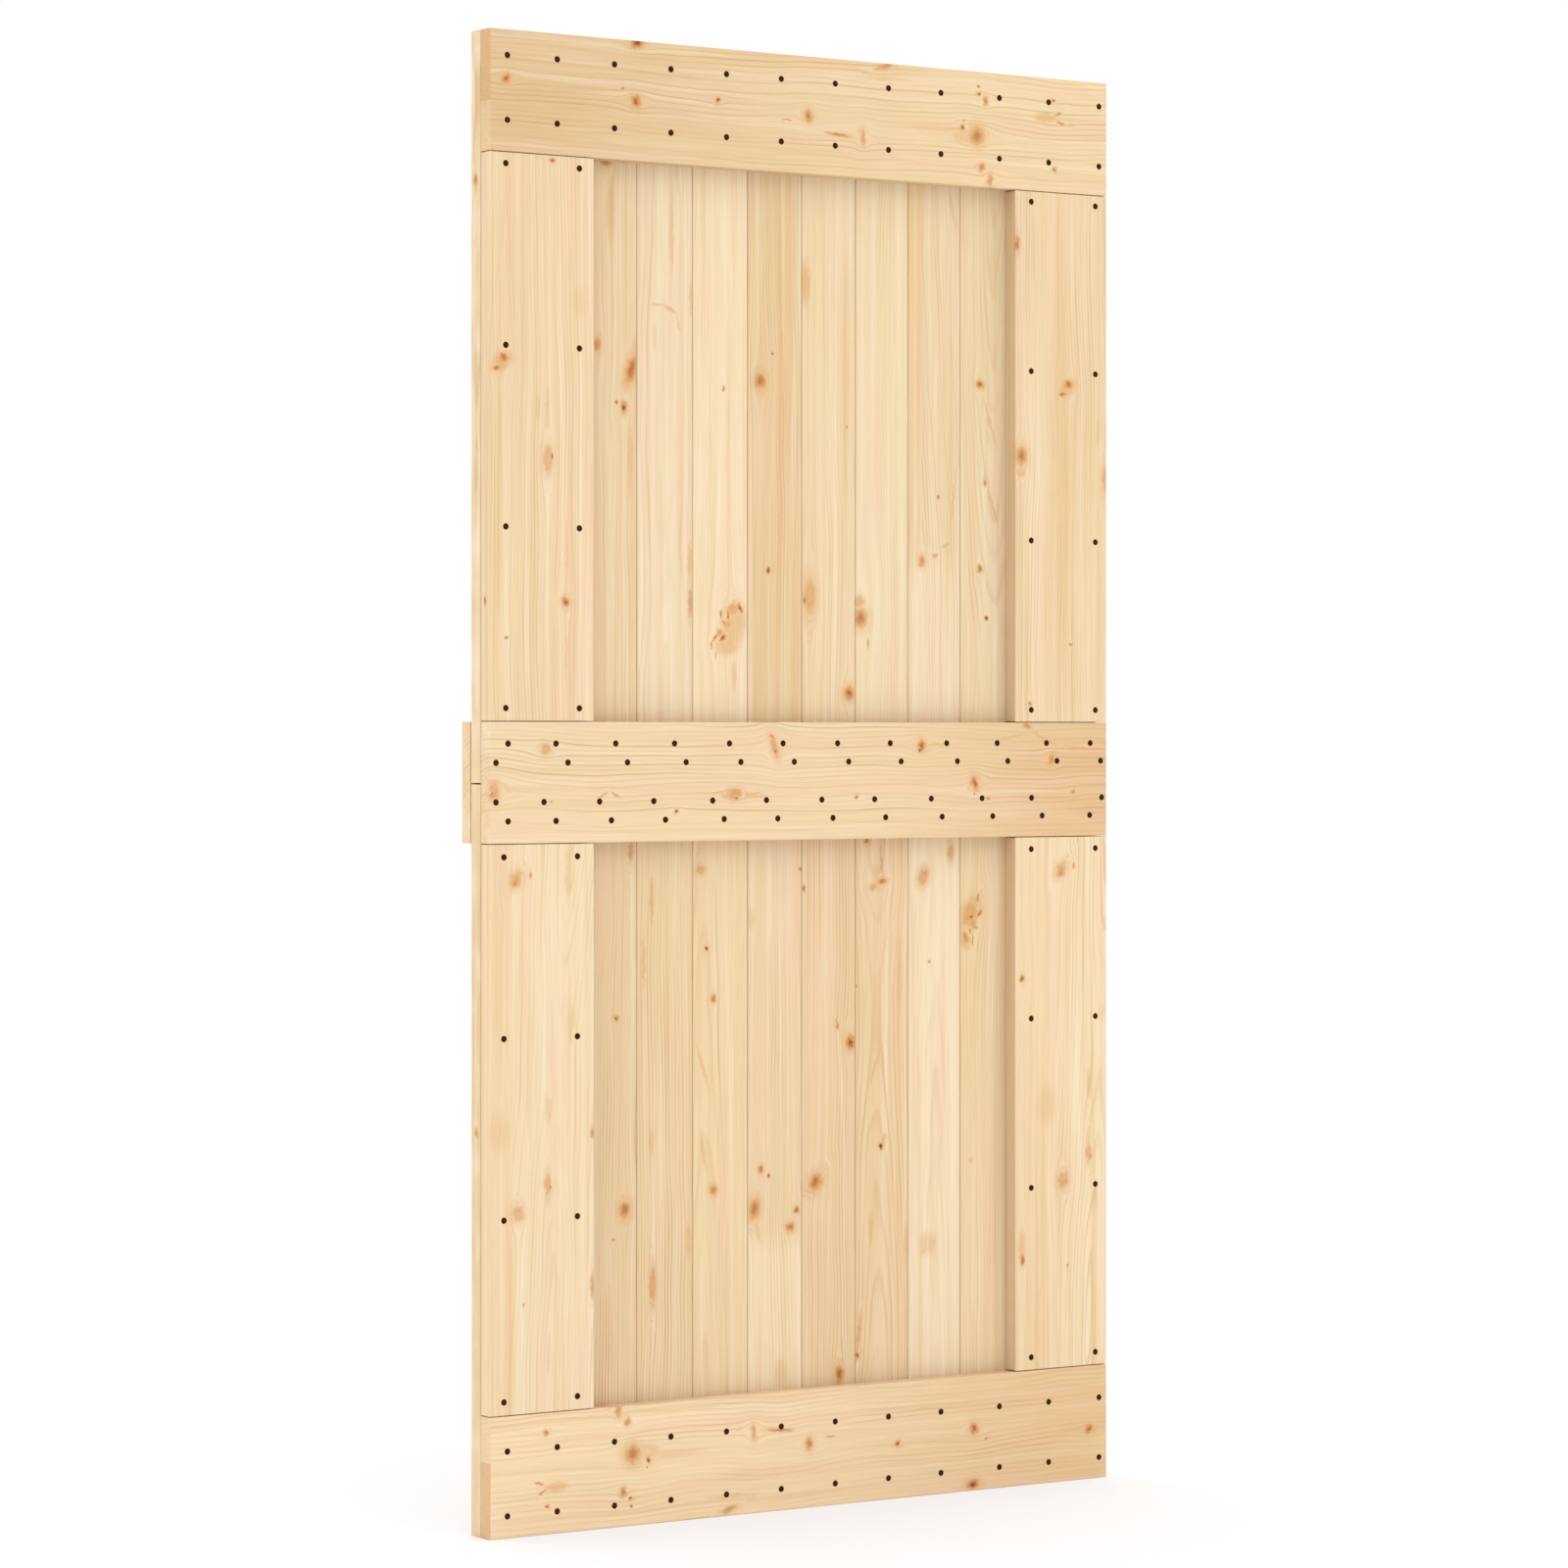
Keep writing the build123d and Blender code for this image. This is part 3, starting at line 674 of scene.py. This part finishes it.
def blackPhosphateSteel():
    # Phosphated and oiled screw steel: a near-black brown film, dull, with paler rubbed specks
    material = emptyMaterial("steelBlackPhosphate")
    tree = material.node_tree
    spot = addNode(tree, "ShaderNodeTexCoord").outputs["Object"]
    speck = {"Vector": spot, "Scale": 1 / (screws["speck"] * mm), "Detail": 3}
    speck = addNode(tree, "ShaderNodeTexNoise", speck)
    start, full = screws["wornLevels"]
    worn = addNode(tree, "ShaderNodeMapRange", {0: speck, 1: start, 2: full})
    colour = {0: worn, 6: hexLinear(screws["film"]), 7: hexLinear(screws["rubbed"])}
    colour = addNode(tree, "ShaderNodeMix", colour, data_type="RGBA").outputs[2]
    low, high = screws["roughLevels"]
    smooth, coarse = screws["roughness"]
    rough = addNode(tree, "ShaderNodeMapRange", {0: speck, 1: low, 2: high, 3: smooth, 4: coarse})
    relief = {"Strength": screws["reliefStrength"], "Distance": screws["relief"] * mm, "Height": speck}
    relief = addNode(tree, "ShaderNodeBump", relief)
    surface = {"Base Color": colour, "Roughness": rough, "Normal": relief, "Specular IOR Level": 0.03}
    surface = addNode(tree, "ShaderNodeBsdfPrincipled", surface)
    addNode(tree, "ShaderNodeOutputMaterial", {"Surface": surface})
    return material


phosphatedSteel = blackPhosphateSteel()


def crossing(columns, rows):
    return [(u, v) for v in rows for u in columns]


def middleRailScrews():
    # zigzag pairs above and below the rail's middle, the end pair of each turned round
    rowA, rowB, rowC, rowD = screws["pairRows"]
    upper, lower, step = screws["upperPairs"], screws["lowerPairs"], screws["pairStep"]
    places = list(zip(screws["turnedPairs"], screws["pairRows"]))
    places += [(u, rowA) for u in upper] + [(u + step, rowB) for u in upper]
    places += [(u, rowC) for u in lower] + [(u + step, rowD) for u in lower]
    return places


def screwHeads(name, places, faceDepth, outward):
    # Head as a polar grid about one centre point. With q from 0 at the centre to 1 on the rim and the
    # angle t: radius = R * q, height = proud * (1 - q to the 8th) - recess * cross(t) inside the recess,
    # and the last ring goes down into the wood. cross(t) = cos(2 t) to the 4th has four lobes, and the
    # centre has the full recess.
    radius, proud, recess = screws["radius"], screws["proud"], screws["recess"]
    ringShares = np.array(screws["rings"])
    count = screws["segments"]
    angle = np.arange(count) * 2 * np.pi / count
    q, t = np.meshgrid(ringShares, angle, indexing="ij")
    height = np.where(q < 1, proud * (1 - q ** 8), -screws["sunk"])
    reach = screws["recessReach"]
    height -= recess * np.clip((reach - q) / reach, 0, 1) * np.cos(2 * t) ** 4
    middles = (0, 0, proud - recess)
    q, t, height = (np.append(middle, grid.ravel()) for middle, grid in zip(middles, (q, t, height)))
    turns = np.random.default_rng(len(places)).uniform(0, np.pi / 2, len(places))[:, None]
    centres = np.array(places)
    u = centres[:, :1] + radius * q * np.cos(t + turns)
    v = centres[:, 1:] + radius * q * np.sin(t + turns)
    y = np.broadcast_to(faceDepth + outward * height * mm, u.shape)
    spots = np.stack([cadLow.x + u * mm, y, cadHigh.z - v * mm], -1).reshape(-1, 3)
    grid = 1 + np.arange(len(ringShares) * count).reshape(len(ringShares), count)
    after = np.roll(grid, -1, axis=1)
    fan = np.stack([np.zeros(count, int), after[0], grid[0]], -1)
    quads = np.stack([grid[:-1], after[:-1], after[1:], grid[1:]], -1).reshape(-1, 4)
    starts = np.arange(len(places))[:, None, None] * len(q)
    step = -outward
    faces = (fan + starts)[:, :, ::step].reshape(-1, 3).tolist()
    faces += (quads + starts)[:, :, ::step].reshape(-1, 4).tolist()
    mesh = bpy.data.meshes.new(name)
    mesh.from_pydata(spots.tolist(), [], faces)
    heads = bpy.data.objects.new(name, mesh)
    scene.collection.objects.link(heads)
    mesh.materials.append(phosphatedSteel)
    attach(heads, "root")


railScrews = crossing(screws["railColumns"], screws["topRows"] + screws["bottomRows"])
stileScrews = []
for first, columns in zip(screws["stileRows"], screws["stileColumns"]):
    rows = [first + screws["stilePitch"] * row for row in range(screws["stileRowCount"])]
    stileScrews += crossing(columns, rows)
pairScrews = middleRailScrews()
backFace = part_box("middle_rail_back")[1].y
screwHeads("rail_screws", railScrews, 0.0, -1)
screwHeads("middle_rail_screws", pairScrews, 0.0, -1)
screwHeads("stile_screws", stileScrews, 0.0, -1)
screwHeads("back_rail_screws", pairScrews, backFace, 1)
print("screws driven:", len(railScrews) + len(stileScrews) + 2 * len(pairScrews))


# Camera at the photograph's viewpoint: level, in front of the leaf and to its left

camera = {
    "place": (-3.964, -5.869, -0.876),   # m
    "turn": 33.73,                       # degrees from square on
    "lens": 115.08, "sensor": 36,        # mm
    "shift": -0.0311,
}
cameraData = bpy.data.cameras.new("camera")
cameraData.sensor_width = camera["sensor"]
cameraData.lens = camera["lens"]
cameraData.shift_y = camera["shift"]
cameraObject = bpy.data.objects.new("camera", cameraData)
cameraObject.location = camera["place"]
cameraObject.rotation_euler = (math.radians(90), 0, -math.radians(camera["turn"]))
scene.collection.objects.link(cameraObject)
scene.camera = cameraObject
print("camera set")


# Studio: a white sky, brightest overhead, one broad soft sun and a white floor under the leaf

studio = {
    "skySide": 0.66, "skyTop": 1.6,
    "sun": {"energy": 0.25, "width": 50, "turn": (40, 0, -30)},      # above the front, a little to the left
    "floorHalf": 30.0,                                               # m
    "floor": "#fbfbfb", "floorGlow": 0.5,
}


def seenRays(tree):
    # 1 for what the camera sees, also in gloss and through glass, and 0 for rays that light the leaf
    ray = addNode(tree, "ShaderNodeLightPath").outputs
    seen = {0: ray["Is Camera Ray"], 1: ray["Is Glossy Ray"]}
    seen = addNode(tree, "ShaderNodeMath", seen, operation="MAXIMUM")
    return addNode(tree, "ShaderNodeMath", {0: seen, 1: ray["Is Transmission Ray"]}, operation="MAXIMUM")


world = bpy.data.worlds.new("studio")
scene.world = world
world.use_nodes = True
sky = world.node_tree
sky.nodes.clear()
toward = addNode(sky, "ShaderNodeTexCoord").outputs["Generated"]
height = addNode(sky, "ShaderNodeSeparateXYZ", {0: toward}).outputs["Z"]
square = addNode(sky, "ShaderNodeMath", {0: height, 1: height}, operation="MULTIPLY")
level = addNode(sky, "ShaderNodeMapRange", {0: square, 3: studio["skySide"], 4: studio["skyTop"]})
level = addNode(sky, "ShaderNodeMix", {0: seenRays(sky), 2: level, 3: 1.0}, data_type="FLOAT")
glow = addNode(sky, "ShaderNodeBackground", {"Color": (1, 1, 1, 1), "Strength": level})
addNode(sky, "ShaderNodeOutputWorld", {"Surface": glow})

sunData = bpy.data.lights.new("sun", "SUN")
sunData.energy = studio["sun"]["energy"]
sunData.angle = math.radians(studio["sun"]["width"])
sun = bpy.data.objects.new("sun", sunData)
sun.rotation_euler = [math.radians(angle) for angle in studio["sun"]["turn"]]
scene.collection.objects.link(sun)


def whitePaper():
    # Seamless paper backdrop: matt and even, part of it glowing for the camera so that it nears white
    material = emptyMaterial("paperWhite")
    tree = material.node_tree
    share = {0: seenRays(tree), 1: studio["floorGlow"]}
    share = addNode(tree, "ShaderNodeMath", share, operation="MULTIPLY")
    sheet = addNode(tree, "ShaderNodeBsdfDiffuse", {"Color": hexLinear(studio["floor"])})
    white = addNode(tree, "ShaderNodeEmission", {"Color": (1, 1, 1, 1), "Strength": 1.0})
    blend = addNode(tree, "ShaderNodeMixShader", {0: share, 1: sheet, 2: white})
    addNode(tree, "ShaderNodeOutputMaterial", {"Surface": blend})
    return material


side = studio["floorHalf"]
corners = [(x, y, cadLow.z) for x, y in ((-side, -side), (side, -side), (side, side), (-side, side))]
floorMesh = bpy.data.meshes.new("floor")
floorMesh.from_pydata(corners, [], [(0, 1, 2, 3)])
floor = bpy.data.objects.new("floor", floorMesh)
scene.collection.objects.link(floor)
floorMesh.materials.append(whitePaper())
print("studio lit")
